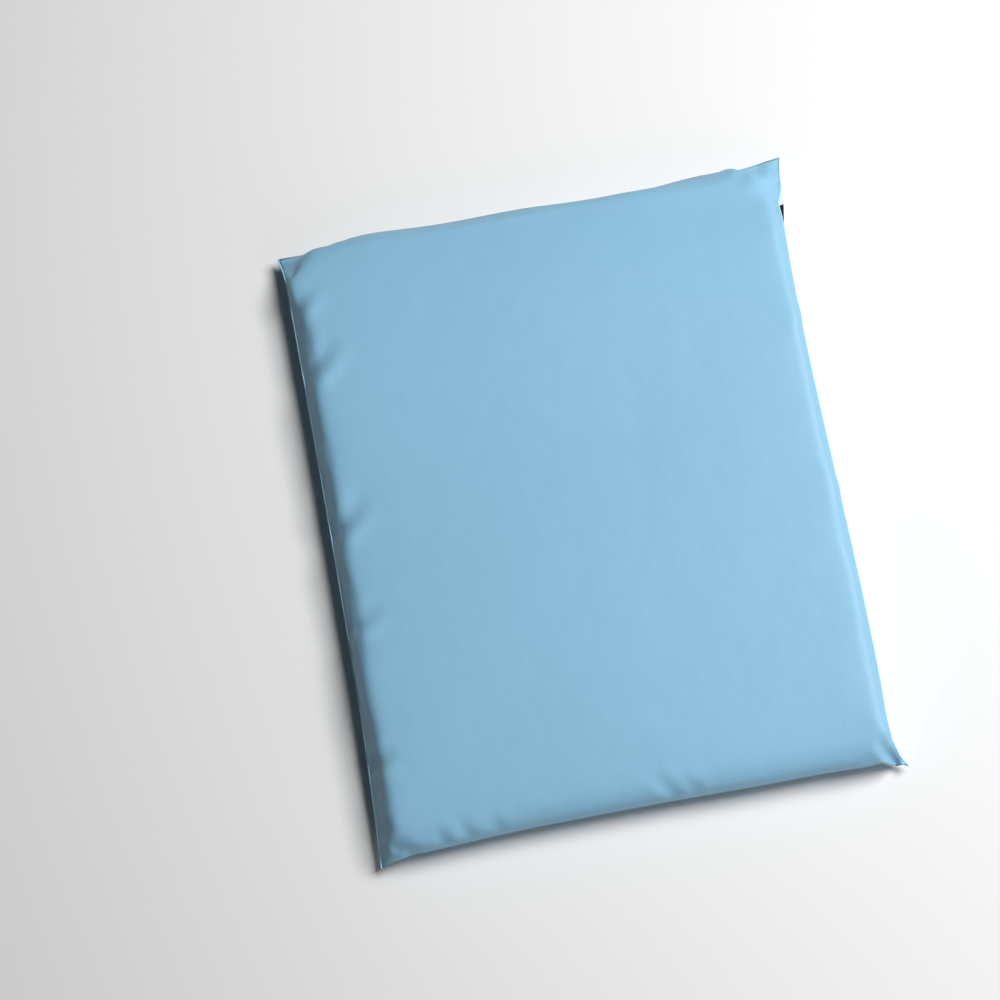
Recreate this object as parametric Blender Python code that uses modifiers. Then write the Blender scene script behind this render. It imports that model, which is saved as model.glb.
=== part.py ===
"""A filled, sealed poly mailer bag lying on its back, as one closed solid.

Metres, +Z up. X runs across the bag from side weld to side weld, and +Y runs towards the end
that is folded over and glued. The origin is the middle of the bag's footprint on the floor.
"""

import math

import bpy

# Overall size of the filled bag.
WIDTH = 0.248  # across the outer edges of the side welds
LENGTH = 0.302  # from the bottom fold to the closing fold
HEIGHT = 0.025  # floor to the crown of the contents

# Where the front and back films meet.
SEAM_HEIGHT = 0.008  # middle of the film edges above the floor
WELD_WIDTH = 0.003  # flat welded margin along both sides
EDGE_THICKNESS = 0.0012  # the pressed-together films at the rim
SIDE_BOW = 0.0035  # how far the middle of a side is drawn in between two corners
END_BOW = 0.0020  # the same for the two ends

# How far in from the rim the contents reach their full height.
SIDE_WALL = 0.013
BOTTOM_END_TAPER = 0.024
CLOSED_END_TAPER = 0.044
UNDERSIDE_TAPER = 0.020  # width of the rim that is lifted off the floor along the sides
FLAT_COLUMN, FLAT_ROW = 3, 2  # cage lines, counted from the rim, where the underside turns flat

# Softness of the crown: the share of the height kept halfway out, and at the shoulder.
CROWN_HALFWAY = 0.985
CROWN_SHOULDER = 0.90
SHOULDER_DROP = 0.62  # share of the height left halfway down the wall
SHOULDER_PLACE = 0.45  # how far into the wall that place lies, as a share of its run
HALFWAY_PLACE = 0.62  # where "halfway out" is, as a share of the flat part's half width

SUBDIVISIONS = 2

COLOUR = (0.26, 0.50, 0.68, 1.0)
ROUGHNESS = 0.42
METALLIC = 0.0


def clear_scene():
    """Removes everything that is in the scene, the startup objects included."""
    for obj in list(bpy.data.objects):
        bpy.data.objects.remove(obj, do_unlink=True)


def film_material():
    """The satin polyethylene film, as a Principled material."""
    material = bpy.data.materials.new("poly_film")
    material.use_nodes = True
    shader = material.node_tree.nodes["Principled BSDF"]
    shader.inputs["Base Color"].default_value = COLOUR
    shader.inputs["Roughness"].default_value = ROUGHNESS
    shader.inputs["Metallic"].default_value = METALLIC
    material.diffuse_color = COLOUR
    return material


def stations(half, low_taper, high_taper, weld):
    """Cage lines along one axis, from -half to half.

    Returns (position, share of the crown height, share of the flat underside) for each line.
    """
    inner_low = -half + low_taper
    inner_high = half - high_taper
    lines = [(-half, 0.0, 0.0)]
    if weld:
        lines.append((-half + weld, 0.0, 0.0))
    lines += [
        (-half + weld + SHOULDER_PLACE * (low_taper - weld), SHOULDER_DROP, SHOULDER_PLACE),
        (inner_low, CROWN_SHOULDER, 1.0),
        (inner_low * HALFWAY_PLACE, CROWN_HALFWAY, 1.0),
        (0.0, 1.0, 1.0),
        (inner_high * HALFWAY_PLACE, CROWN_HALFWAY, 1.0),
        (inner_high, CROWN_SHOULDER, 1.0),
        (half - weld - SHOULDER_PLACE * (high_taper - weld), SHOULDER_DROP, SHOULDER_PLACE),
    ]
    if weld:
        lines.append((half - weld, 0.0, 0.0))
    lines.append((half, 0.0, 0.0))
    return lines


def drawn_in(position, half, bow):
    """How far a rim line is drawn in at this place along it: nothing at the corners."""
    return bow * math.cos(0.5 * math.pi * position / half)


def cage():
    """The coarse pillow: a top sheet, a bottom sheet and the rim between.

    Returns its points, its faces, the points that stay sharp, and the edges that do.
    """
    half_width, half_length = WIDTH / 2, LENGTH / 2
    columns = stations(half_width, SIDE_WALL, SIDE_WALL, WELD_WIDTH)
    rows = stations(half_length, BOTTOM_END_TAPER, CLOSED_END_TAPER, 0.0)
    under_columns = stations(half_width, UNDERSIDE_TAPER, UNDERSIDE_TAPER, WELD_WIDTH)
    under_rows = stations(half_length, UNDERSIDE_TAPER, CLOSED_END_TAPER, 0.0)
    count_x, count_y = len(columns), len(rows)
    rim = EDGE_THICKNESS / 2

    points = []
    for top in (True, False):
        for y, crown_y, flat_y in rows if top else under_rows:
            for x, crown_x, flat_x in columns if top else under_columns:
                inset_x = drawn_in(y, half_length, SIDE_BOW) * x / half_width
                inset_y = drawn_in(x, half_width, END_BOW) * y / half_length
                if top:
                    rise = (HEIGHT - SEAM_HEIGHT - rim) * crown_x * crown_y
                    z = SEAM_HEIGHT + rim + rise
                else:
                    z = (SEAM_HEIGHT - rim) * (1.0 - flat_x * flat_y)
                points.append((x - inset_x, y - inset_y, z))

    def index(top, i, j):
        return (0 if top else count_x * count_y) + j * count_x + i

    faces = []
    for j in range(count_y - 1):
        for i in range(count_x - 1):
            corners = ((i, j), (i + 1, j), (i + 1, j + 1), (i, j + 1))
            faces.append([index(True, *corner) for corner in corners])
            faces.append([index(False, *corner) for corner in reversed(corners)])
    around = [(i, 0) for i in range(count_x - 1)]
    around += [(count_x - 1, j) for j in range(count_y - 1)]
    around += [(i, count_y - 1) for i in range(count_x - 1, 0, -1)]
    around += [(0, j) for j in range(count_y - 1, 0, -1)]
    for here, there in zip(around, around[1:] + around[:1]):
        faces.append([index(False, *here), index(False, *there), index(True, *there), index(True, *here)])

    left, right = FLAT_COLUMN, count_x - 1 - FLAT_COLUMN
    low, high = FLAT_ROW, count_y - 1 - FLAT_ROW
    rim_corners = [(i, j) for i in (0, count_x - 1) for j in (0, count_y - 1)]
    sharp_points = [index(top, *corner) for corner in rim_corners for top in (True, False)]
    sharp_points += [index(False, i, j) for i in (left, right) for j in (low, high)]
    sharp_edges = set()
    for i in range(left, right):
        sharp_edges |= {frozenset((index(False, i, j), index(False, i + 1, j))) for j in (low, high)}
    for j in range(low, high):
        sharp_edges |= {frozenset((index(False, i, j), index(False, i, j + 1))) for i in (left, right)}
    return points, faces, sharp_points, sharp_edges


def build_mailer(collection):
    """Makes the bag as one soft solid from its cage."""
    points, faces, sharp_points, sharp_edges = cage()
    mesh = bpy.data.meshes.new("sealed_mailer")
    mesh.from_pydata(points, [], faces)
    point_creases = mesh.attributes.new("crease_vert", "FLOAT", "POINT")
    for vertex in sharp_points:
        point_creases.data[vertex].value = 1.0
    edge_creases = mesh.attributes.new("crease_edge", "FLOAT", "EDGE")
    for edge in mesh.edges:
        edge_creases.data[edge.index].value = float(frozenset(edge.vertices) in sharp_edges)
    mesh.materials.append(film_material())
    mailer = bpy.data.objects.new("sealed_mailer", mesh)
    collection.objects.link(mailer)
    soft = mailer.modifiers.new("soft_form", "SUBSURF")
    soft.levels = SUBDIVISIONS
    soft.render_levels = SUBDIVISIONS
    for polygon in mesh.polygons:
        polygon.use_smooth = True
    return mailer


def main():
    clear_scene()
    collection = bpy.data.collections.new("poly_mailer_bag")
    bpy.context.scene.collection.children.link(collection)
    build_mailer(collection)


main()
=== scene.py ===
"""Looks of a filled, sealed poly mailer bag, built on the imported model's frame.

The bag lies on its back: +X runs across it, +Y towards the end that is folded over and glued,
and +Z is up. All sizes are in metres unless a name says otherwise.
"""

import logging
import math
from dataclasses import dataclass, field
from enum import Enum

import bmesh
import bpy
import numpy as np
from mathutils import Matrix, Vector, noise
from mathutils.bvhtree import BVHTree


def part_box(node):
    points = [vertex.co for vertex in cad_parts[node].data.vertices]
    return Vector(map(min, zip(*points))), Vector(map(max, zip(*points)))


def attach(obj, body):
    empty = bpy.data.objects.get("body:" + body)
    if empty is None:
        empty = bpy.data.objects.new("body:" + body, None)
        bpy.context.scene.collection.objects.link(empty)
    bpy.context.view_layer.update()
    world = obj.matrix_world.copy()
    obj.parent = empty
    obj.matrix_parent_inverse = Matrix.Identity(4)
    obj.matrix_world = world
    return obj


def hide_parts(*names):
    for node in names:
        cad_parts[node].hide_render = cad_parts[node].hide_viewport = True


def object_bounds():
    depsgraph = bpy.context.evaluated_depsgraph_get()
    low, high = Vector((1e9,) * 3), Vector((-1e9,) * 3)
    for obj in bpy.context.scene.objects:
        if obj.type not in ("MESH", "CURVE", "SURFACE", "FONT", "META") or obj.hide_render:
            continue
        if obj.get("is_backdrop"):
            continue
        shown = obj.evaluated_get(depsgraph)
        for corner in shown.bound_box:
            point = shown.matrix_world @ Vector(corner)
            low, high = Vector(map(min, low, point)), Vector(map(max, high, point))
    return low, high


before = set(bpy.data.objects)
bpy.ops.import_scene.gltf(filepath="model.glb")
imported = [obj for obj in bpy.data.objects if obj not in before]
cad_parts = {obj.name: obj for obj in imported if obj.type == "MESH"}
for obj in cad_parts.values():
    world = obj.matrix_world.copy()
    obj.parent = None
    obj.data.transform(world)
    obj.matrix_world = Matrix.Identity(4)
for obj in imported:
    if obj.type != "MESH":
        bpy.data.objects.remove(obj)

NODE = "sealed_mailer"
BODY = "root"
CROWDING = 0.13  # how strongly mesh lines gather at both ends; 0 spaces them evenly
log = logging.getLogger("poly_mailer")


class FilmSide(Enum):
    """The faces that the film shows."""

    BLUE = "blue"
    BAND = "unprinted_band"
    INNER = "black_inner"
    WELD = "weld_bead_painted_highlight"


class Edge(Enum):
    """The four edges of the bag; a corner lies on two, so the values add up."""

    LEFT = 1
    RIGHT = 2
    BOTTOM = 4
    CLOSED = 8


SIDES = (Edge.LEFT, Edge.RIGHT)


def smoothstep(value: float) -> float:
    """Eases a value from 0 to 1, flat at both ends.

    Args:
        value: Any number; it is clamped to 0..1.

    Returns:
        The eased value.
    """
    t = min(max(value, 0.0), 1.0)
    return t * t * (3.0 - 2.0 * t)


def crowded(share: float) -> float:
    """Crowds evenly spaced mesh lines towards both ends.

    Args:
        share: Place of a line, from 0 to 1.

    Returns:
        Its new place; 0 and 1 stay where they are.
    """
    return share - CROWDING * math.sin(2.0 * math.pi * share)


def link(obj: bpy.types.Object) -> bpy.types.Object:
    """Puts a new object into the scene's collection and returns it."""
    bpy.context.scene.collection.objects.link(obj)
    return obj


def object_from(name: str, points: np.ndarray, faces: list[list[int]],
                edges: list[tuple[int, int]] | None = None) -> bpy.types.Object:
    """Makes a linked mesh object.

    Args:
        name: Name of the object and of its mesh.
        points: One row of x, y, z for each vertex.
        faces: Lists of vertex numbers.
        edges: Pairs of vertex numbers, for a line with no faces.

    Returns:
        The new object, at the origin.
    """
    mesh = bpy.data.meshes.new(name)
    mesh.from_pydata([tuple(p) for p in points], edges or [], faces)
    mesh.update()
    return link(bpy.data.objects.new(name, mesh))


def square(name: str, half: float) -> bpy.types.Object:
    """Makes a level square about the origin.

    Args:
        name: Name of the object.
        half: Half the length of its sides.

    Returns:
        The new object, with one face that looks up.
    """
    corners = np.array([(-half, -half, 0), (half, -half, 0), (half, half, 0), (-half, half, 0)])
    return object_from(name, corners, [[0, 1, 2, 3]])


def grid_faces(index: np.ndarray, flipped: bool = False) -> list[list[int]]:
    """Lists the faces of a grid of vertices.

    Args:
        index: The vertex number at each row and column.
        flipped: Whether the faces look down instead of up.

    Returns:
        One list of four vertex numbers for each face.
    """
    corners = np.stack((index[:-1, :-1], index[:-1, 1:], index[1:, 1:], index[1:, :-1]), axis=-1)
    corners = corners.reshape(-1, 4)
    return (corners[:, ::-1] if flipped else corners).tolist()


def points_of(mesh: bpy.types.Mesh) -> np.ndarray:
    """Reads the vertex positions of a mesh.

    Args:
        mesh: Any mesh.

    Returns:
        One row of x, y, z for each vertex.
    """
    flat = np.empty(len(mesh.vertices) * 3)
    mesh.vertices.foreach_get("co", flat)
    return flat.reshape(-1, 3)


def apply_subdivision(obj: bpy.types.Object, levels: int) -> None:
    """Subdivides a mesh and keeps the result as a plain mesh.

    Args:
        obj: The object to refine.
        levels: How many times each face is split.
    """
    finer = obj.modifiers.new("finer", "SUBSURF")
    finer.levels = finer.render_levels = levels
    depsgraph = bpy.context.evaluated_depsgraph_get()
    refined = bpy.data.meshes.new_from_object(obj.evaluated_get(depsgraph))
    obj.modifiers.clear()
    old, obj.data = obj.data, refined
    bpy.data.meshes.remove(old)


@dataclass(frozen=True)
class FilmNoise:
    """A noise texture over the film, in the bag's own coordinates."""

    scale: float  # features a metre
    detail: float  # octaves of finer noise

    def add(self, tree: bpy.types.NodeTree, place: bpy.types.NodeSocket) -> bpy.types.NodeSocket:
        """Adds the texture to a material.

        Args:
            tree: The material's tree.
            place: The coordinates it reads.

        Returns:
            Its factor socket.
        """
        texture = tree.nodes.new("ShaderNodeTexNoise")
        texture.inputs["Scale"].default_value = self.scale
        texture.inputs["Detail"].default_value = self.detail
        tree.links.new(place, texture.inputs["Vector"])
        return texture.outputs[0]


@dataclass(frozen=True)
class FilmFinish:
    """A face of co-extruded polyethylene film: satin, with a faint grain and soft creases."""

    name: str
    colour: tuple[float, float, float]
    roughness: float = 0.50
    roughness_spread: float = 0.05
    specular: float = 0.40
    ior: float = 1.5
    mottle: float = 0.045  # share by which the colour grows lighter and darker
    grain_height: float = 0.000045
    crease_height: float = 0.00045
    clouds: FilmNoise = FilmNoise(scale=9.0, detail=3.0)
    patches: FilmNoise = FilmNoise(scale=34.0, detail=4.0)
    creases: FilmNoise = FilmNoise(scale=42.0, detail=5.0)
    grain: FilmNoise = FilmNoise(scale=1800.0, detail=2.0)

    def material(self) -> bpy.types.Material:
        """Builds the procedural material of this face.

        Returns:
            A material on Object coordinates.
        """
        material = bpy.data.materials.new(self.name)
        material.use_nodes = True
        tree = material.node_tree
        shader = tree.nodes["Principled BSDF"]
        shader.inputs["IOR"].default_value = self.ior
        shader.inputs["Specular IOR Level"].default_value = self.specular
        place = tree.nodes.new("ShaderNodeTexCoord").outputs["Object"]

        shades = tree.nodes.new("ShaderNodeMix")
        shades.data_type = "RGBA"
        tree.links.new(self.clouds.add(tree, place), shades.inputs["Factor"])
        for socket, gain in (("A", 1.0 - self.mottle), ("B", 1.0 + self.mottle)):
            shade = [min(1.0, c * gain) for c in self.colour]
            shades.inputs[socket].default_value = (*shade, 1.0)
        tree.links.new(shades.outputs["Result"], shader.inputs["Base Color"])

        satin = tree.nodes.new("ShaderNodeMapRange")
        satin.inputs["To Min"].default_value = self.roughness - self.roughness_spread
        satin.inputs["To Max"].default_value = self.roughness + self.roughness_spread
        tree.links.new(self.patches.add(tree, place), satin.inputs["Value"])
        tree.links.new(satin.outputs["Result"], shader.inputs["Roughness"])

        creases = self._bump(tree, self.creases.add(tree, place), self.crease_height)
        grain = self._bump(tree, self.grain.add(tree, place), self.grain_height)
        tree.links.new(creases.outputs["Normal"], grain.inputs["Normal"])
        tree.links.new(grain.outputs["Normal"], shader.inputs["Normal"])
        return material

    @staticmethod
    def _bump(tree: bpy.types.NodeTree, height: bpy.types.NodeSocket, distance: float) -> bpy.types.Node:
        """Adds a bump.

        Args:
            tree: The material's tree.
            height: The texture that it follows.
            distance: Its height, in metres.

        Returns:
            Its node.
        """
        bump = tree.nodes.new("ShaderNodeBump")
        bump.inputs["Distance"].default_value = distance
        tree.links.new(height, bump.inputs["Height"])
        return bump


@dataclass(frozen=True)
class FloorFinish:
    """The plain pale floor."""

    colour: tuple[float, float, float] = (0.84, 0.84, 0.84)
    roughness: float = 0.9
    specular: float = 0.1

    def material(self) -> bpy.types.Material:
        """Builds the floor's material.

        Returns:
            A plain matt material.
        """
        material = bpy.data.materials.new("pale_floor")
        material.use_nodes = True
        shader = material.node_tree.nodes["Principled BSDF"]
        shader.inputs["Base Color"].default_value = (*self.colour, 1.0)
        shader.inputs["Roughness"].default_value = self.roughness
        shader.inputs["Specular IOR Level"].default_value = self.specular
        return material


FINISHES = {
    FilmSide.BLUE: FilmFinish("blue_film", (0.238, 0.483, 0.664)),
    FilmSide.BAND: FilmFinish("unprinted_film", (0.72, 0.73, 0.79)),
    FilmSide.INNER: FilmFinish("black_film", (0.010, 0.011, 0.013), roughness=0.25),
    # The weld bead's lighter blue is a painted highlight: the light its shiny cut edge catches, painted into
    # its colour so it shows bright even in shade.
    FilmSide.WELD: FilmFinish("weld_bead_painted_highlight", (0.40, 0.72, 0.90), roughness=0.35),
}


@dataclass
class FlatMailer:
    """The empty mailer laid flat, which sets how much film there is."""

    width: float = 0.2535  # from side weld to side weld
    body_length: float = 0.332  # bottom fold to mouth
    fold_over: float = 0.025  # how far below the mouth it is folded over
    flap: float = 0.037  # glued flap beyond the mouth

    @property
    def filled_length(self) -> float:
        """Bottom fold to closing fold."""
        return self.body_length - self.fold_over

    @property
    def turned_over(self) -> float:
        """Height of what lies folded over on the back."""
        return self.fold_over + self.flap


@dataclass
class Contents:
    """The folded goods inside: a soft slab that the film is drawn over. It is never shown."""

    width: float = 0.2410
    half_height: float = 0.0115
    shift: float = 0.0006  # how far it slid towards the right side weld
    gap_bottom: float = 0.0080  # between the goods and the bottom fold
    gap_closed: float = 0.0075  # between the goods and the closing fold
    corner: float = 0.009  # radius of its corners, seen from above
    left_run: float = 0.0065  # over which the left wall slopes, seen from above
    right_run: float = 0.0040
    under_run: float = 0.0095  # the same for the walls of the lower half
    bottom_run: float = 0.019
    closed_run: float = 0.075
    crispness: float = 5.0  # of the creases where the walls meet the top
    end_roundness: float = 2.4  # 2 is an ellipse
    ripple: float = 0.0036  # unevenness of the folded sides
    ripple_scale: float = 55.0
    crown: float = 0.030  # share of the height that the top rises and falls by
    crown_scale: float = 15.0
    columns: int = 56
    rows: int = 60
    side_seed: float = 3.0
    top_seed: float = 7.0

    def slab(self, mailer: FlatMailer) -> tuple[np.ndarray, list[list[int]]]:
        """Builds the slab as an upper and a lower surface that share their rim.

        Args:
            mailer: The flat bag that holds it.

        Returns:
            Its points and its faces.
        """
        low = -mailer.filled_length / 2 + self.gap_bottom
        high = mailer.filled_length / 2 - self.gap_closed
        points: list[tuple[float, float, float]] = []
        upper = np.zeros((self.rows + 1, self.columns + 1), int)
        lower = upper.copy()
        for j in range(self.rows + 1):
            y = low + (high - low) * crowded(j / self.rows)
            end = self._end(y - low, self.bottom_run) * self._end(high - y, self.closed_run)
            half = self.width / 2 - self._cut_corner(min(y - low, high - y))
            for i in range(self.columns + 1):
                across = half * (2.0 * crowded(i / self.columns) - 1.0)
                side = half - abs(across)
                uneven = noise.noise(Vector((across, y, self.side_seed)) * self.ripple_scale) * self.ripple
                x = self.shift + across + uneven * across / half
                place = Vector((across * self.crown_scale, y * self.crown_scale, self.top_seed))
                swell = 1.0 + self.crown * noise.noise(place)
                wall = self._rise(side / (self.left_run if across < 0.0 else self.right_run))
                upper[j, i] = lower[j, i] = len(points)
                points.append((x, y, self.half_height * wall * end * swell))
                if 0 < i < self.columns and 0 < j < self.rows:
                    lower[j, i] = len(points)
                    points.append((x, y, -self.half_height * self._rise(side / self.under_run) * end))
        return np.array(points), grid_faces(upper) + grid_faces(lower, flipped=True)

    def _cut_corner(self, distance: float) -> float:
        """Returns how much narrower each side is, this far from the nearer end."""
        short = max(self.corner - distance, 0.0)
        return self.corner - math.sqrt(self.corner ** 2 - short ** 2)

    def _rise(self, reach: float) -> float:
        """Returns a straight slope up to 1 that turns level, the more abruptly the crisper."""
        return reach / (1.0 + reach ** self.crispness) ** (1.0 / self.crispness)

    def _end(self, distance: float, run: float) -> float:
        """Returns the share of the height this far from an end: a rounded rise, then level."""
        t = min(max(distance / run, 0.0), 1.0)
        return (1.0 - (1.0 - t) ** self.end_roundness) ** (1.0 / self.end_roundness)


@dataclass
class FilmSimulation:
    """Draws the flat bag over its contents with Blender's cloth solver, at ten times life size.

    Lengths whose comment says so are in the enlarged scene, and the others are life size.
    """

    scale: float = 10.0
    frames: int = 46
    fill_frames: int = 24  # over which the contents swell
    calm_frames: int = 8  # at the end, once the pressure has fallen
    quality: int = 6
    collision_quality: int = 3
    distance: float = 0.003  # between film and goods, enlarged
    near_distance: float = 0.004  # between film and floor, and film and film, enlarged
    goods_friction: float = 5.0
    floor_friction: float = 10.0
    mass: float = 0.3
    air_damping: float = 1.0
    stretch: float = 60.0
    shear: float = 20.0
    bending: float = 0.01
    bending_damping: float = 0.5
    damping: float = 5.0
    pressure: float = 0.8
    last_pressure: float = 0.1
    gravity: float = 0.5
    thin: tuple[float, float, float] = (0.975, 0.985, 0.08)  # share of its size the slab grows from
    floor_half: float = 5.0  # enlarged
    floor_start: float = 0.0026  # how far the floor lies under the flat bag
    floor_gap: float = 0.0009  # and, at last, under the contents

    def run(self, bag: bpy.types.Object, contents: Contents, mailer: FlatMailer) -> np.ndarray:
        """Fills the bag.

        Args:
            bag: The flat bag, life size.
            contents: What goes in.
            mailer: The flat bag's sizes.

        Returns:
            The bag's points after filling, life size, about the middle of its thickness.
        """
        scene = bpy.context.scene
        film = bag.copy()
        film.data = bag.data.copy()
        film.data.transform(self._enlarge())
        link(film)
        goods = self._goods(contents, mailer)
        floor = self._floor(contents)
        self._cloth(film)
        scene.frame_start, scene.frame_end = 1, self.frames
        for step in range(1, self.frames + 1):
            scene.frame_set(step)
        depsgraph = bpy.context.evaluated_depsgraph_get()
        settled = bpy.data.meshes.new_from_object(film.evaluated_get(depsgraph))
        points = points_of(settled) / self.scale
        bpy.data.meshes.remove(settled)
        for helper in (film, goods, floor):
            bpy.data.objects.remove(helper, do_unlink=True)
        scene.frame_set(1)
        return points

    def _enlarge(self) -> Matrix:
        """Returns the matrix from life size to the enlarged scene."""
        return Matrix.Scale(self.scale, 4)

    def _goods(self, contents: Contents, mailer: FlatMailer) -> bpy.types.Object:
        """Makes the growing collider that stands for the contents.

        Args:
            contents: What goes in.
            mailer: The flat bag's sizes.

        Returns:
            The collider, with its growth as shape keys.
        """
        full, faces = contents.slab(mailer)
        full *= self.scale
        goods = object_from("contents_collider", full * np.array(self.thin), faces)
        goods.shape_key_add(name="Basis")
        grown = goods.shape_key_add(name="grown")
        grown.data.foreach_set("co", full.ravel())
        grown.value = 0.0
        grown.keyframe_insert("value", frame=1)
        grown.value = 1.0
        grown.keyframe_insert("value", frame=self.fill_frames)
        goods.modifiers.new("Collision", "COLLISION")
        goods.collision.thickness_outer = self.distance
        goods.collision.cloth_friction = self.goods_friction
        return goods

    def _floor(self, contents: Contents) -> bpy.types.Object:
        """Makes the floor collider, which sinks as the contents swell.

        Args:
            contents: What goes in.

        Returns:
            The collider.
        """
        floor = square("floor_collider", self.floor_half)
        floor.location.z = -self.floor_start * self.scale
        floor.keyframe_insert("location", index=2, frame=1)
        floor.location.z = -(contents.half_height + self.floor_gap) * self.scale
        floor.keyframe_insert("location", index=2, frame=self.fill_frames)
        floor.modifiers.new("Collision", "COLLISION")
        floor.collision.thickness_outer = self.near_distance
        floor.collision.cloth_friction = self.floor_friction
        return floor

    def _cloth(self, film: bpy.types.Object) -> None:
        """Gives the film its cloth settings.

        Args:
            film: The enlarged flat bag.
        """
        cloth = film.modifiers.new("Cloth", "CLOTH")
        settings, contact = cloth.settings, cloth.collision_settings
        settings.quality = self.quality
        settings.mass = self.mass
        settings.air_damping = self.air_damping
        settings.tension_stiffness = settings.compression_stiffness = self.stretch
        settings.shear_stiffness = self.shear
        settings.bending_model = "ANGULAR"
        settings.bending_stiffness = self.bending
        settings.tension_damping = settings.compression_damping = settings.shear_damping = self.damping
        settings.bending_damping = self.bending_damping
        settings.effector_weights.gravity = self.gravity
        settings.use_pressure = True
        settings.uniform_pressure_force = self.pressure
        settings.keyframe_insert("uniform_pressure_force", frame=self.fill_frames)
        settings.uniform_pressure_force = self.last_pressure
        settings.keyframe_insert("uniform_pressure_force", frame=self.frames - self.calm_frames)
        contact.distance_min = self.distance
        contact.collision_quality = self.collision_quality
        contact.use_self_collision = True
        contact.self_distance_min = self.near_distance
        cloth.point_cache.frame_start, cloth.point_cache.frame_end = 1, self.frames


@dataclass(frozen=True)
class EdgeMark:
    """A place on an edge of the filled bag where its film is changed."""

    edge: Edge
    along: float  # metres from the bottom or left end of the edge

    def _axes(self, low: Vector, high: Vector) -> tuple[np.ndarray, np.ndarray, np.ndarray]:
        """Works out the mark's place.

        Args:
            low: Lowest corner of the bag's box.
            high: Its highest corner.

        Returns:
            The inward and onward directions of the edge, and the place on it.
        """
        if self.edge is Edge.LEFT:
            return np.array((1.0, 0.0)), np.array((0.0, 1.0)), np.array((low.x, low.y + self.along))
        if self.edge is Edge.RIGHT:
            return np.array((-1.0, 0.0)), np.array((0.0, 1.0)), np.array((high.x, low.y + self.along))
        if self.edge is Edge.BOTTOM:
            return np.array((0.0, 1.0)), np.array((1.0, 0.0)), np.array((low.x + self.along, low.y))
        return np.array((0.0, -1.0)), np.array((1.0, 0.0)), np.array((low.x + self.along, high.y))


@dataclass(frozen=True)
class Pucker(EdgeMark):
    """A small dent where surplus film gathers beside an edge.

    It is a groove between two low banks. It starts at `inset` from the edge and fades over
    `length` into the panel.
    """

    inset: float = 0.007
    length: float = 0.012
    width: float = 0.0028
    depth: float = 0.0012
    slant: float = 0.0  # degrees, turned towards the far end of the edge
    both: bool = False  # whether the lower film goes along, as at a corner
    bank_height: float = 0.45  # share of the depth
    bank_place: float = 2.0  # widths from the middle of the groove

    def apply(self, points: np.ndarray, normals: np.ndarray, low: Vector, high: Vector) -> None:
        """Presses the groove in.

        Args:
            points: All points of the bag, changed in place.
            normals: Their normals, which tell the upper film from the lower.
            low: Lowest corner of the bag's box.
            high: Its highest corner.
        """
        inward, onward, start = self._axes(low, high)
        turn = math.radians(self.slant)
        axis = inward * math.cos(turn) + onward * math.sin(turn)
        across = np.array((-axis[1], axis[0]))
        offset = points[:, :2] - (start + inward * self.inset)
        reach, side = offset @ axis, offset @ across
        taper = np.clip(1.0 - reach / self.length, 0.0, 1.0) * np.clip(1.0 + reach / self.inset, 0.0, 1.0)
        bank = (np.abs(side) - self.bank_place * self.width) / self.width
        groove = np.exp(-((side / self.width) ** 2)) - self.bank_height * np.exp(-(bank ** 2))
        films = 1.0 if self.both else np.clip(normals[:, 2] * 2.0, 0.0, 1.0)
        points[:, 2] -= self.depth * groove * taper * films


@dataclass(frozen=True)
class Draw(EdgeMark):
    """A stretch where the edge itself is drawn in or, with a depth under 0, bulges out."""

    depth: float
    spread: float  # along the edge
    length: float  # over which it fades into the panel

    def apply(self, points: np.ndarray, normals: np.ndarray, low: Vector, high: Vector) -> None:
        """Moves the edge and the film beside it, both films alike.

        Args:
            points: All points of the bag, changed in place.
            normals: Their normals, which aren't needed here.
            low: Lowest corner of the bag's box.
            high: Its highest corner.
        """
        inward, onward, start = self._axes(low, high)
        from_edge = (points[:, :2] - start) @ inward
        beside = (points[:, :2] - start) @ onward
        pull = np.exp(-((beside / self.spread) ** 2)) * np.exp(-np.clip(from_edge, 0.0, None) / self.length)
        points[:, :2] += np.outer(self.depth * pull, inward)


@dataclass(frozen=True)
class Corner:
    """How one corner of the bag stands out from the lines of its two edges."""

    side: Edge
    end: Edge
    side_reach: float  # length of side that bends out to the tip
    end_reach: float  # the same for the fold
    plain: tuple[float, float]  # how far along the side and the fold its film is drawn plain
    offset: tuple[float, float, float] = (0.0, 0.0, 0.0)  # of the tip from its usual place


@dataclass(frozen=True)
class PlainFill:
    """A quick stand-in for the simulation, which puffs the flat bag up by a smooth rule."""

    side_run: float = 0.020
    bottom_run: float = 0.022
    closed_run: float = 0.045
    narrowing: float = 0.020  # shares that the bag draws in by
    shortening: float = 0.022

    def fill(self, flat: np.ndarray, mailer: FlatMailer, half_height: float) -> np.ndarray:
        """Puffs the flat bag up.

        Args:
            flat: The points of the flat bag.
            mailer: The flat bag's sizes.
            half_height: Half the thickness of the filled bag.

        Returns:
            The points of a plain pillow of the right thickness.
        """
        puffed = flat.copy()
        for point in puffed:
            side = smoothstep((mailer.width / 2 - abs(point[0])) / self.side_run)
            end_run = self.closed_run if point[1] > 0 else self.bottom_run
            end = smoothstep((mailer.filled_length / 2 - abs(point[1])) / end_run)
            point[2] = math.copysign(half_height * math.sqrt(side * end), point[2])
            point[0] *= 1.0 - self.narrowing
            point[1] *= 1.0 - self.shortening
        return puffed


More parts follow.
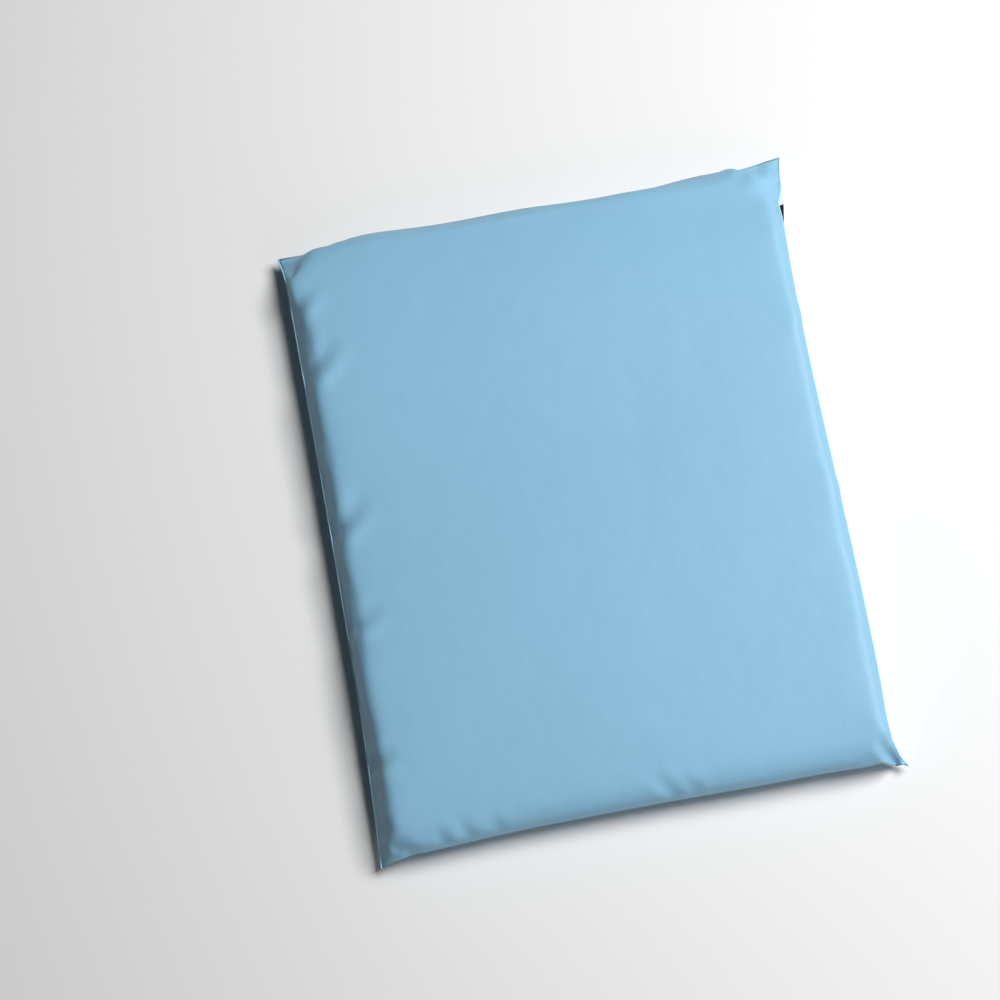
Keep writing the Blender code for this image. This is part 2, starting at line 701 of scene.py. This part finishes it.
@dataclass
class FilmBag:
    """The bag itself: front and back film, joined at the side welds and the two folds."""

    mailer: FlatMailer
    contents: Contents
    simulation: FilmSimulation
    step: float = 0.0033  # size of the film's mesh
    parting: float = 0.0016  # half the gap between the flat films before filling
    parting_run: float = 0.006  # over which they part beside the rim
    lift: float = 0.0004  # height of the underside over the floor, for the flap that lies under it
    rim_crease: float = 0.9
    marks: tuple[Pucker | Draw, ...] = ()
    corners: tuple[Corner, ...] = ()
    tip_width: float = 0.2500  # between the corner tips, once filled
    tip_length: float = 0.2995
    tip_height: float = -0.0055  # of the tips, from the middle of the thickness
    tip_curve: float = 1.5  # 1 bends out to the tips in a straight line, more in a hollow curve
    weld_ends: float = 0.024  # length at each corner whose simulated line isn't kept
    rim_order: tuple[int, int, int] = (3, 6, 2)  # of the curves for the sides, the ends and heights
    rim_evenness: tuple[float, float] = (1.0, 0.6)  # how closely sides and ends follow them
    full_share: float = 0.6  # of the weld ends, over which a fold follows its curve fully
    bow: float = 0.0027  # further in along the right side
    bow_fullness: float = 0.4  # less than 1 brings the bow nearer to the corners
    shove_fade: tuple[float, ...] = (1.0, 0.75, 0.35, 0.1)  # what the film beside the rim follows
    clamped: tuple[int, ...] = (1, 2)  # lines beside the rim whose film can't cross its height
    corner_fade: float = 0.4  # share of a corner's plain area over which it blends in
    calm_from: float = 0.012  # distance from the rim where the panels start to be evened out
    calm_over: float = 0.020
    calm_rounds: int = 40
    columns: int = field(init=False)
    rows: int = field(init=False)
    front: np.ndarray = field(init=False)  # vertex numbers of the front film's grid
    back: np.ndarray = field(init=False)
    on_edges: np.ndarray = field(init=False)  # sum of the edges each unrefined vertex is on
    rims: dict[Edge, np.ndarray] = field(init=False)  # each edge before the marks change it

    def __post_init__(self) -> None:
        """Works out the mesh counts."""
        self.columns = round(self.mailer.width / self.step)
        self.rows = round(self.mailer.filled_length / self.step)
        self.front = np.zeros((self.rows + 1, self.columns + 1), int)
        self.back = self.front.copy()

    def build(self) -> bpy.types.Object:
        """Builds the filled bag, resting on the floor and centred in the frame.

        Returns:
            The bag as a closed mesh.
        """
        bag = self._flat_bag()
        points = self.simulation.run(bag, self.contents, self.mailer)
        points = points - self._middle(points)
        self._even_rim(points)
        self._calm_panels(points)
        bag.data.vertices.foreach_set("co", self._placed(points).ravel())
        bag.data.update()
        self._crease_rim(bag.data)
        apply_subdivision(bag, 1)
        self.rims = {edge: self.rim_line(bag, edge) for edge in Edge}
        self._apply_marks(bag.data)
        bag.data.shade_smooth()
        return bag

    def rim_line(self, bag: bpy.types.Object, edge: Edge) -> np.ndarray:
        """Follows one edge of the filled bag.

        Args:
            bag: The filled bag.
            edge: Which edge.

        Returns:
            Points along it, from the bottom or the left, one row each.
        """
        chosen = points_of(bag.data)[:len(self.on_edges)][(self.on_edges & edge.value) > 0]
        return chosen[np.argsort(chosen[:, 1 if edge in SIDES else 0])]

    def dress(self, bag: bpy.types.Object) -> None:
        """Gives the bag its finish and its place in the frame.

        Args:
            bag: The filled bag.
        """
        bag.data.materials.clear()
        bag.data.materials.append(FINISHES[FilmSide.BLUE].material())
        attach(bag, BODY)
        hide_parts(NODE)

    def _flat_bag(self) -> bpy.types.Object:
        """Makes the flat bag: two grids that share their rim.

        Returns:
            The flat bag as a closed mesh.
        """
        half_width, half_length = self.mailer.width / 2, self.mailer.filled_length / 2
        points: list[tuple[float, float, float]] = []
        for j in range(self.rows + 1):
            y = half_length * (2.0 * j / self.rows - 1.0)
            for i in range(self.columns + 1):
                x = half_width * (2.0 * i / self.columns - 1.0)
                inwards = min(half_width - abs(x), half_length - abs(y))
                lift = self.parting * smoothstep(inwards / self.parting_run)
                self.front[j, i] = self.back[j, i] = len(points)
                points.append((x, y, lift))
                if 0 < i < self.columns and 0 < j < self.rows:
                    self.back[j, i] = len(points)
                    points.append((x, y, -lift))
        faces = grid_faces(self.front) + grid_faces(self.back, flipped=True)
        return object_from("mailer_film", np.array(points), faces)

    def _seen_from(self, edge: Edge) -> list[np.ndarray]:
        """Turns the films' grids so that column 0 is one edge and column 1 lies beside it.

        Args:
            edge: Which edge.

        Returns:
            The front film's and the back film's vertex numbers.
        """
        sheets = [sheet if edge in SIDES else sheet.T for sheet in (self.front, self.back)]
        return [sheet if edge in (Edge.LEFT, Edge.BOTTOM) else sheet[:, ::-1] for sheet in sheets]

    def _even_rim(self, points: np.ndarray) -> None:
        """Evens out the welds and folds, which are stiffer than the film, and draws out the corners.

        Args:
            points: The points of the filled bag, changed in place.
        """
        for edge in Edge:
            front, back = self._seen_from(edge)
            rim = front[:, 0]
            shove = self._rim_shove(points[rim], edge)
            points[rim] += shove * self.shove_fade[0]
            for depth, weight in enumerate(self.shove_fade[1:], start=1):
                for sheet in (front, back):
                    points[sheet[:, depth]] += shove * weight
            for depth in self.clamped:
                for sheet, limit in ((front, np.maximum), (back, np.minimum)):
                    beside = sheet[:, depth]
                    points[beside, 2] = limit(points[beside, 2], points[rim, 2])

    def _calm_panels(self, points: np.ndarray) -> None:
        """Evens out the long ripples of the film on the goods and the film in the corners.

        Args:
            points: The points of the filled bag, changed in place.
        """
        across, along = self._from_rim(self.columns), self._from_rim(self.rows)
        ease = (np.minimum.outer(along, across) - self.calm_from) / self.calm_over
        for corner in self.corners:
            ease = np.maximum(ease, (1.0 - self._from_corner(corner)) / self.corner_fade)
        ease = np.vectorize(smoothstep)(ease)[1:-1, 1:-1, None]
        for sheet in (self.front, self.back):
            panel = points[sheet]
            for _ in range(self.calm_rounds):
                around = (panel[:-2, 1:-1] + panel[2:, 1:-1] + panel[1:-1, :-2] + panel[1:-1, 2:]) / 4.0
                panel[1:-1, 1:-1] += (around - panel[1:-1, 1:-1]) * ease
            points[sheet] = panel

    def _middle(self, points: np.ndarray) -> np.ndarray:
        """Finds the middle of the filled bag, halfway between opposite edges.

        Args:
            points: The points of the filled bag.

        Returns:
            That place, at height 0.
        """
        ends = [points[self.front[row]][:, 1].mean() for row in (0, -1)]
        sides = [points[self.front[:, column]][:, 0].mean() for column in (0, -1)]
        return np.array((sum(sides) / 2, sum(ends) / 2, 0.0))

    def _rim_shove(self, rim: np.ndarray, edge: Edge) -> np.ndarray:
        """Works out how one edge moves so that it runs evenly and bends out to its corner tips.

        Args:
            rim: The edge's points, in order.
            edge: Which edge it is.

        Returns:
            One displacement for each point.
        """
        axis = 0 if edge in SIDES else 1  # it bows along this axis and runs along the other
        run = 1 - axis
        ends = sorted((corner for corner in self.corners if edge in (corner.side, corner.end)),
                      key=lambda corner: self._tip(corner)[run])
        tips = [self._tip(corner) for corner in ends]
        reaches = [corner.side_reach if axis == 0 else corner.end_reach for corner in ends]
        t = np.linspace(-1.0, 1.0, len(rim))
        inner = np.abs(t) < 1.0 - 2.0 * self.weld_ends / abs(tips[1][run] - tips[0][run])
        even = rim.copy()
        known = np.concatenate(([tips[0][run]], rim[inner, run], [tips[1][run]]))
        even[:, run] = np.interp(t, np.concatenate(([-1.0], t[inner], [1.0])), known)
        for bowed in (axis, 2):
            curve = np.polyfit(t[inner], rim[inner, bowed], self.rim_order[bowed])
            line = np.polyval(curve, np.clip(t, t[inner][0], t[inner][-1]))
            if bowed == 0 and edge is Edge.RIGHT:
                line -= np.cos(0.5 * math.pi * t) ** self.bow_fullness * self.bow
            for tip, reach, end in zip(tips, reaches, (0, -1)):
                near = np.clip(1.0 - np.abs(even[:, run] - tip[run]) / reach, 0.0, 1.0)
                line = line + (tip[bowed] - line[end]) * near ** self.tip_curve
            even[:, bowed] = line
        to_end = (1.0 - np.abs(t)) / (1.0 - t[inner][-1])
        share = np.vectorize(smoothstep)(1.0 - to_end + self.full_share)
        share = self.rim_evenness[axis] + (1.0 - self.rim_evenness[axis]) * share
        return (even - rim) * share[:, None]

    def _tip(self, corner: Corner) -> np.ndarray:
        """Works out where a corner's tip comes to lie.

        Args:
            corner: Which corner.

        Returns:
            Its place, from the middle of the bag.
        """
        across = -1.0 if corner.side is Edge.LEFT else 1.0
        along = -1.0 if corner.end is Edge.BOTTOM else 1.0
        place = np.array((across * self.tip_width / 2, along * self.tip_length / 2, self.tip_height))
        return place + np.array(corner.offset)

    def _from_corner(self, corner: Corner) -> np.ndarray:
        """Measures how far each grid point lies from a corner.

        Args:
            corner: Which corner.

        Returns:
            The distances, as shares of the reach of the corner's plain area.
        """
        along = np.arange(self.rows + 1) * self.step
        across = np.arange(self.columns + 1) * self.step
        along = along if corner.end is Edge.BOTTOM else along[::-1]
        across = across if corner.side is Edge.LEFT else across[::-1]
        return np.hypot.outer(along / corner.plain[0], across / corner.plain[1])

    def _from_rim(self, count: int) -> np.ndarray:
        """Returns how far each grid line lies from the nearer rim of the flat bag."""
        return np.minimum(np.arange(count + 1), np.arange(count, -1, -1)) * self.step

    def _placed(self, points: np.ndarray) -> np.ndarray:
        """Moves the filled bag so that it rests on the floor, centred on the frame's footprint.

        Args:
            points: The points of the filled bag.

        Returns:
            The moved points.
        """
        low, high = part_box(NODE)
        middle = (low + high) / 2
        return points + np.array((middle.x, middle.y, self.lift - points[:, 2].min()))

    def _edges_at(self, i: int, j: int) -> int:
        """Finds the edges that a place in the grid lies on.

        Args:
            i: Its column.
            j: Its row.

        Returns:
            The sum of their Edge values, or 0.
        """
        places = {Edge.LEFT: i == 0, Edge.RIGHT: i == self.columns,
                  Edge.BOTTOM: j == 0, Edge.CLOSED: j == self.rows}
        return sum(edge.value for edge, there in places.items() if there)

    def _crease_rim(self, mesh: bpy.types.Mesh) -> None:
        """Keeps the welds and folds sharp when the mesh is refined, and notes their vertices.

        Args:
            mesh: The filled bag's mesh, not refined yet.
        """
        found: list[int] = []
        for j in range(self.rows + 1):
            for i in range(self.columns + 1):
                edges = self._edges_at(i, j)
                found += [edges] if edges else [0, 0]
        creases = mesh.attributes.new("crease_edge", "FLOAT", "EDGE")
        for edge in mesh.edges:
            if found[edge.vertices[0]] & found[edge.vertices[1]]:
                creases.data[edge.index].value = self.rim_crease
        self.on_edges = np.array(found)

    def _apply_marks(self, mesh: bpy.types.Mesh) -> None:
        """Gives the filled bag its puckers and uneven edges.

        Args:
            mesh: The refined mesh.
        """
        low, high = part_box(NODE)
        points = points_of(mesh)
        normals = np.array([v.normal[:] for v in mesh.vertices])
        for mark in self.marks:
            mark.apply(points, normals, low, high)
        mesh.vertices.foreach_set("co", points.ravel())
        mesh.update()


@dataclass
class SideWeld:
    """The hot-cut bead along one side of the bag, made by a Geometry Nodes tree that follows it. Its lighter
    blue is a painted highlight, standing in for the light its cut edge catches.
    """

    edge: Edge
    radius: float = 0.00035
    spacing: float = 0.0015
    sides: int = 8

    def build(self, builder: FilmBag, bag: bpy.types.Object) -> bpy.types.Object:
        """Builds the bead as a plain mesh.

        Args:
            builder: The bag's builder, which knows where its edges run.
            bag: The filled bag.

        Returns:
            The bead.
        """
        line = builder.rim_line(bag, self.edge)
        steps = [(n, n + 1) for n in range(len(line) - 1)]
        bead = object_from(f"side_weld_{self.edge.name.lower()}", line, [], steps)
        modifier = bead.modifiers.new("bead", "NODES")
        modifier.node_group = self._tree(FINISHES[FilmSide.WELD].material())
        sizes = {"Radius": self.radius, "Spacing": self.spacing}
        for item in modifier.node_group.interface.items_tree:
            if item.item_type == "SOCKET" and item.name in sizes:
                modifier[item.identifier] = sizes[item.name]
        depsgraph = bpy.context.evaluated_depsgraph_get()
        solid = bpy.data.meshes.new_from_object(bead.evaluated_get(depsgraph))
        bead.modifiers.clear()
        bead.data = solid
        solid.shade_smooth()
        return bead

    def dress(self, bead: bpy.types.Object) -> None:
        """Gives the bead its place in the frame; its tree has given it its finish."""
        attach(bead, BODY)

    def _tree(self, material: bpy.types.Material) -> bpy.types.NodeTree:
        """Makes the tree that turns a line into a bead of an even radius.

        Args:
            material: The bead's finish.

        Returns:
            The tree, with named inputs for the line and the sizes.
        """
        tree = bpy.data.node_groups.new("weld_bead_painted_highlight", "GeometryNodeTree")
        face = tree.interface
        face.new_socket("Line", in_out="INPUT", socket_type="NodeSocketGeometry")
        face.new_socket("Radius", in_out="INPUT", socket_type="NodeSocketFloat")
        face.new_socket("Spacing", in_out="INPUT", socket_type="NodeSocketFloat")
        face.new_socket("Bead", in_out="OUTPUT", socket_type="NodeSocketGeometry")
        add = tree.nodes.new
        entry, end = add("NodeGroupInput"), add("NodeGroupOutput")
        curve, even = add("GeometryNodeMeshToCurve"), add("GeometryNodeResampleCurve")
        even.mode = "LENGTH"
        circle, sweep = add("GeometryNodeCurvePrimitiveCircle"), add("GeometryNodeCurveToMesh")
        circle.inputs["Resolution"].default_value = self.sides
        sweep.inputs["Fill Caps"].default_value = True
        real, dress = add("GeometryNodeRealizeInstances"), add("GeometryNodeSetMaterial")
        dress.inputs["Material"].default_value = material
        join = tree.links.new
        join(entry.outputs["Line"], curve.inputs["Mesh"])
        join(curve.outputs["Curve"], even.inputs["Curve"])
        join(entry.outputs["Spacing"], even.inputs["Length"])
        join(entry.outputs["Radius"], circle.inputs["Radius"])
        join(even.outputs["Curve"], sweep.inputs["Curve"])
        join(circle.outputs["Curve"], sweep.inputs["Profile Curve"])
        join(sweep.outputs["Mesh"], real.inputs["Geometry"])
        join(real.outputs["Geometry"], dress.inputs["Geometry"])
        join(dress.outputs["Geometry"], end.inputs["Bead"])
        return tree


@dataclass
class ClosingFlap:
    """The end of the film folded over onto the back and glued there.

    Its outer face is blue. Its inner face shows the unprinted band next to the fold, and beyond
    the mouth the black inside of the flap.
    """

    mailer: FlatMailer
    thickness: float = 0.00025
    gap: float = 0.00008  # glue between the flap and the back
    columns: int = 84
    rows: int = 31
    tuck: float = 0.0020  # how far it stays inside the left side weld
    slide: float = 0.0006  # how far it was folded over past the right one, next to the mouth
    slide_from: float = 0.012  # distance from the fold where it is out that far
    slide_back: float = 0.042  # and where it is back inside
    settle_run: float = 0.006  # from the fold to where it lies against the back
    sight_from: float = 0.01  # how far under the floor the back is looked for
    sharp_angle: float = 50.0  # degrees; steeper edges aren't shaded smooth

    def build(self, builder: FilmBag, bag: bpy.types.Object) -> bpy.types.Object:
        """Builds the flap against the underside of the bag.

        Args:
            builder: The bag's builder, which knows where its edges run.
            bag: The filled bag.

        Returns:
            The flap as a thin closed sheet.
        """
        fold = builder.rims[Edge.CLOSED]
        sides = [builder.rims[edge] for edge in SIDES]
        under = BVHTree.FromObject(bag, bpy.context.evaluated_depsgraph_get())
        inner = np.zeros((self.rows + 1, self.columns + 1, 3))
        for row in range(self.rows + 1):
            down = self.mailer.turned_over * row / self.rows
            left, right = (self._side(side, fold, down) for side in sides)
            for column in range(self.columns + 1):
                share = crowded(column / self.columns)
                on_fold = self._at(fold, share)
                x, y = left + (right - left) * share, on_fold[1] - down
                rest = self._underside(under, x, y, sides[round(share)])
                z = on_fold[2] + (rest - on_fold[2]) * smoothstep(down / self.settle_run)
                inner[row, column] = (x, y, max(min(z, rest) - self.gap, self.thickness))
        return self._sheet(inner.reshape(-1, 3))

    def dress(self, flap: bpy.types.Object, bag: bpy.types.Object) -> None:
        """Gives the flap its place in the frame.

        Args:
            flap: The flap.
            bag: The filled bag that it is glued to; not used.
        """
        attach(flap, BODY)

    def _side(self, side: np.ndarray, fold: np.ndarray, down: float) -> float:
        """Works out where one of the flap's side edges runs.

        Args:
            side: The bag's edge on that side.
            fold: The closing fold.
            down: Distance below the fold.

        Returns:
            Its place across the bag.
        """
        line = float(np.interp(side[-1, 1] - down, side[:, 1], side[:, 0]))
        if side[0, 0] < fold[:, 0].mean():
            return line + self.tuck
        places = (0.0, self.slide_from, self.mailer.fold_over, self.slide_back)
        return line + float(np.interp(down, places, (0.0, self.slide, self.slide, -self.slide)))

    @staticmethod
    def _at(line: np.ndarray, share: float) -> np.ndarray:
        """Returns the point this share of the way along a line of points."""
        steps = np.concatenate(([0.0], np.cumsum(np.linalg.norm(np.diff(line, axis=0), axis=1))))
        return np.array([np.interp(share * steps[-1], steps, line[:, axis]) for axis in range(3)])

    def _underside(self, tree: BVHTree, x: float, y: float, side: np.ndarray) -> float:
        """Measures how high the bag's back or, outside the bag, its weld is over a place.

        Args:
            tree: The bag's surface.
            x: The place across the bag.
            y: The place along it.
            side: The nearer side edge.

        Returns:
            The height.
        """
        hit = tree.ray_cast(Vector((x, y, -self.sight_from)), Vector((0.0, 0.0, 1.0)))
        if hit[0] is not None:
            return hit[0].z
        return float(np.interp(y, side[:, 1], side[:, 2]))

    def _sheet(self, inner: np.ndarray) -> bpy.types.Object:
        """Closes the inner face with an outer face and a rim, and lays out the three finishes.

        Args:
            inner: The points of the inner face, row by row.

        Returns:
            The flap as a closed mesh.
        """
        wide = self.columns + 1
        count = len(inner)
        outer = inner - np.array((0.0, 0.0, self.thickness))
        faces: list[list[int]] = []
        finishes: list[int] = []
        sides = [FilmSide.BLUE, FilmSide.BAND, FilmSide.INNER]
        for row in range(self.rows):
            below = self.mailer.turned_over * (row + 0.5) / self.rows
            inside = FilmSide.BAND if below < self.mailer.fold_over else FilmSide.INNER
            for column in range(self.columns):
                a = row * wide + column
                quad = [a, a + wide, a + wide + 1, a + 1]
                faces += [quad, [count + n for n in reversed(quad)]]
                finishes += [sides.index(inside), 0]
        around = list(range(wide)) + [r * wide + wide - 1 for r in range(1, self.rows + 1)]
        around += [self.rows * wide + c for c in range(self.columns - 1, -1, -1)]
        around += [r * wide for r in range(self.rows - 1, 0, -1)]
        for here, there in zip(around, around[1:] + around[:1]):
            faces.append([here, there, count + there, count + here])
            finishes.append(0)
        flap = object_from("closing_flap", np.vstack((inner, outer)), faces)
        for side in sides:
            flap.data.materials.append(FINISHES[side].material())
        flap.data.polygons.foreach_set("material_index", finishes)
        mesh = bmesh.new()
        mesh.from_mesh(flap.data)
        bmesh.ops.recalc_face_normals(mesh, faces=mesh.faces[:])
        mesh.to_mesh(flap.data)
        mesh.free()
        flap.data.shade_smooth()
        flap.data.set_sharp_from_angle(angle=math.radians(self.sharp_angle))
        return flap


def towards(azimuth: float, elevation: float) -> Vector:
    """Points from the bag towards a place in the studio.

    Args:
        azimuth: Degrees round from the bottom end of the bag, towards its right side.
        elevation: Degrees above the floor.

    Returns:
        A unit vector.
    """
    a, e = math.radians(azimuth), math.radians(elevation)
    return Vector((math.sin(a) * math.cos(e), -math.cos(a) * math.cos(e), math.sin(e)))


@dataclass(frozen=True)
class SoftLight:
    """A square soft light that faces the bag."""

    name: str
    azimuth: float
    elevation: float
    distance: float
    size: float
    power: float

    def build(self) -> None:
        """Adds the light."""
        lamp = bpy.data.lights.new(self.name, "AREA")
        lamp.size, lamp.energy = self.size, self.power
        holder = link(bpy.data.objects.new(self.name, lamp))
        away = towards(self.azimuth, self.elevation)
        holder.location = away * self.distance
        holder.rotation_euler = (-away).to_track_quat("-Z", "Y").to_euler()


@dataclass
class Studio:
    """Floor, light and camera."""

    lens: float = 110.0
    distance: float = 1.4555
    azimuth: float = 13.44
    elevation: float = 75.26
    roll: float = -24.36
    target: tuple[float, float, float] = (-0.0390, 0.0100, 0.010)
    floor_half: float = 6.0
    ambient: float = 0.02
    lights: tuple[SoftLight, ...] = (
        SoftLight("key", azimuth=106.0, elevation=56.0, distance=1.5, size=0.75, power=27.3),
        SoftLight("fill", azimuth=25.0, elevation=22.0, distance=1.6, size=1.0, power=4.5),
    )

    def build(self) -> None:
        """Makes the floor, the lights, the world and the camera."""
        floor = square("floor", self.floor_half)
        floor.data.materials.append(FloorFinish().material())
        floor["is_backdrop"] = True
        for light in self.lights:
            light.build()
        world = bpy.data.worlds.new("studio")
        world.use_nodes = True
        background = world.node_tree.nodes["Background"]
        background.inputs["Color"].default_value = (1.0, 1.0, 1.0, 1.0)
        background.inputs["Strength"].default_value = self.ambient
        bpy.context.scene.world = world
        bpy.context.scene.view_settings.view_transform = "Standard"
        self._camera()

    def _camera(self) -> None:
        """Adds the camera, looking down on the bag."""
        lens = bpy.data.cameras.new("camera")
        lens.lens = self.lens
        camera = link(bpy.data.objects.new("camera", lens))
        back = towards(self.azimuth, self.elevation)
        camera.location = Vector(self.target) + back * self.distance
        turn = (-back).to_track_quat("-Z", "Y").to_matrix()
        camera.rotation_euler = (turn @ Matrix.Rotation(math.radians(self.roll), 3, "Z")).to_euler()
        bpy.context.scene.camera = camera


MARKS = (
    Pucker(Edge.LEFT, 0.271, slant=40.0, length=0.013, width=0.0034),
    Pucker(Edge.LEFT, 0.238, slant=40.0, length=0.019, depth=0.0021, width=0.0040, inset=0.008),
    Pucker(Edge.LEFT, 0.160, slant=35.0, length=0.020, depth=0.0022, width=0.0042, inset=0.008),
    Pucker(Edge.LEFT, 0.112, slant=20.0, length=0.015, depth=0.0018, width=0.0036, inset=0.008),
    Pucker(Edge.LEFT, 0.045, slant=20.0, depth=0.0018, width=0.0034, inset=0.006),
    Pucker(Edge.BOTTOM, 0.014, slant=-20.0, length=0.008, depth=0.0008, inset=0.003),
    Pucker(Edge.BOTTOM, 0.032, slant=-30.0, length=0.010, depth=0.0009, inset=0.004),
    Pucker(Edge.BOTTOM, 0.044, slant=-30.0, length=0.011, depth=0.0009, inset=0.004),
    Pucker(Edge.BOTTOM, 0.058, slant=-25.0, length=0.010, depth=0.0007, inset=0.004),
    Pucker(Edge.BOTTOM, 0.141, slant=-40.0, length=0.016, inset=0.004),
    Pucker(Edge.BOTTOM, 0.151, slant=-50.0, length=0.013, depth=0.0010, inset=0.004),
    Pucker(Edge.BOTTOM, 0.2428, slant=-38.0, depth=0.0070, width=0.0022, inset=0.003, both=True),
    Draw(Edge.BOTTOM, 0.026, depth=-0.0018, spread=0.032, length=0.012),
    Draw(Edge.BOTTOM, 0.195, depth=-0.0015, spread=0.048, length=0.012),
    Draw(Edge.BOTTOM, 0.232, depth=-0.0014, spread=0.016, length=0.012),
    Draw(Edge.RIGHT, 0.018, depth=0.0006, spread=0.016, length=0.010),
    Draw(Edge.CLOSED, 0.038, depth=-0.0070, spread=0.044, length=0.045),
    Draw(Edge.CLOSED, 0.115, depth=-0.0032, spread=0.052, length=0.045),
    Draw(Edge.CLOSED, 0.182, depth=-0.0012, spread=0.032, length=0.030),
    Draw(Edge.CLOSED, 0.236, depth=-0.0016, spread=0.016, length=0.012),
    Pucker(Edge.CLOSED, 0.238, slant=-62.0, length=0.018, depth=0.0018, width=0.0036, inset=0.004, both=True),
    Pucker(Edge.RIGHT, 0.289, slant=-52.0, depth=0.0014, width=0.0026, inset=0.003, both=True),
    Pucker(Edge.RIGHT, 0.2742, slant=25.0, length=0.008, depth=0.0006, width=0.0019, inset=0.003),
    Draw(Edge.RIGHT, 0.2742, depth=0.0014, spread=0.0076, length=0.008),
    Pucker(Edge.RIGHT, 0.2785, slant=10.0, length=0.006, depth=0.0008, width=0.0008, inset=0.002),
    Draw(Edge.RIGHT, 0.2785, depth=0.0023, spread=0.0032, length=0.006),
)
CORNERS = (
    Corner(Edge.LEFT, Edge.BOTTOM, side_reach=0.090, end_reach=0.018, plain=(0.009, 0.009),
           offset=(0.0, -0.0014, 0.0)),
    Corner(Edge.RIGHT, Edge.BOTTOM, side_reach=0.011, end_reach=0.014, plain=(0.019, 0.019),
           offset=(-0.0003, -0.0010, -0.0015)),
    Corner(Edge.LEFT, Edge.CLOSED, side_reach=0.016, end_reach=0.026, plain=(0.015, 0.017),
           offset=(-0.0003, -0.0008, 0.0015)),
    Corner(Edge.RIGHT, Edge.CLOSED, side_reach=0.045, end_reach=0.030, plain=(0.042, 0.019),
           offset=(0.0, 0.0012, 0.0)),
)


def main() -> None:
    """Builds the bag and the studio, in order."""
    logging.basicConfig(level=logging.INFO, format="%(message)s")
    cad_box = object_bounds()
    mailer = FlatMailer()
    bag_builder = FilmBag(mailer, Contents(), FilmSimulation(), marks=MARKS, corners=CORNERS)
    bag = bag_builder.build()
    bag_builder.dress(bag)
    log.info("%s: %d faces", bag.name, len(bag.data.polygons))
    flap_builder = ClosingFlap(mailer)
    flap = flap_builder.build(bag_builder, bag)
    flap_builder.dress(flap, bag)
    log.info("%s: %d faces", flap.name, len(flap.data.polygons))
    for edge in SIDES:
        weld_builder = SideWeld(edge)
        weld = weld_builder.build(bag_builder, bag)
        weld_builder.dress(weld)
        log.info("%s: %d faces", weld.name, len(weld.data.polygons))
    Studio().build()
    visual_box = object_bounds()
    for label, box in (("cad", cad_box), ("visual", visual_box)):
        log.info("%s box mm: %s", label, [round(1000 * c, 1) for corner in box for c in corner])


if __name__ == "__main__":
    main()
